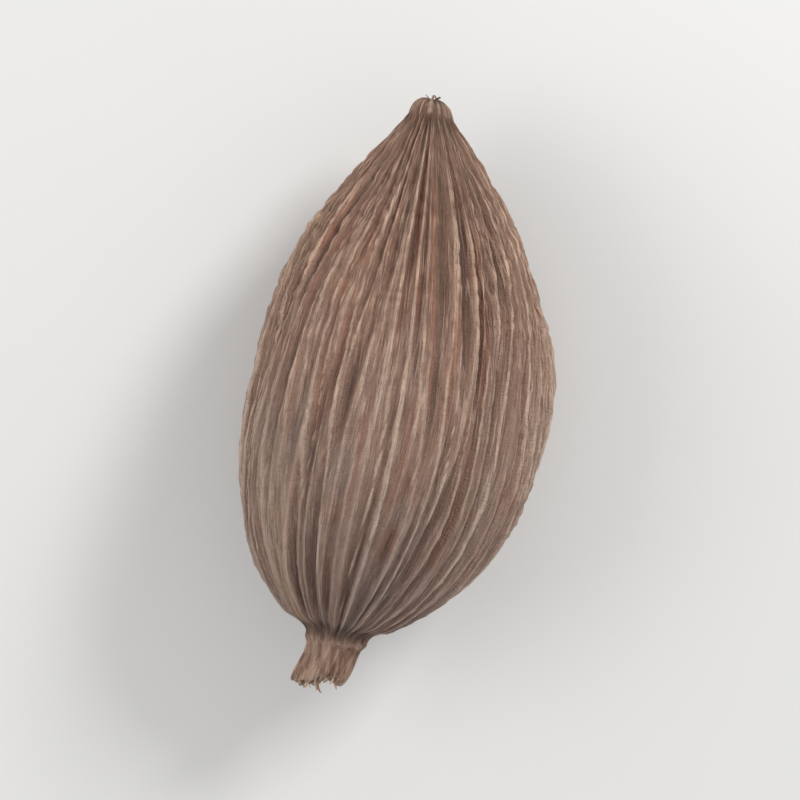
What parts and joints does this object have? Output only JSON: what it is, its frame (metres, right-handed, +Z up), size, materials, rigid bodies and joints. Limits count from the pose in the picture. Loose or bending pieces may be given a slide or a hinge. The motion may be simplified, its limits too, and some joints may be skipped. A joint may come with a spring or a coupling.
{
  "type": "tsao-ko cardamom pod",
  "caption": "Dried spice pod lying on its side: an egg-shaped, lengthwise-ribbed brown husk with a small button at its narrow end where the flower's style was and a short broken stalk at its broad end.",
  "frame": {"origin": "on the surface that the pod rests on, under the middle of its bounding box", "axes": "+Y along the pod from the stalk to the narrow end, +Z up, +X across"},
  "size_m": [0.0162, 0.032, 0.0153],
  "materials": {
    "husk": "dry matte fibrous husk, grey-brown to red-brown, paler on the rib crests, with a cream broken stalk"
  },
  "bodies": {
    "root": {"pod": "husk"}
  },
  "joints": []
}
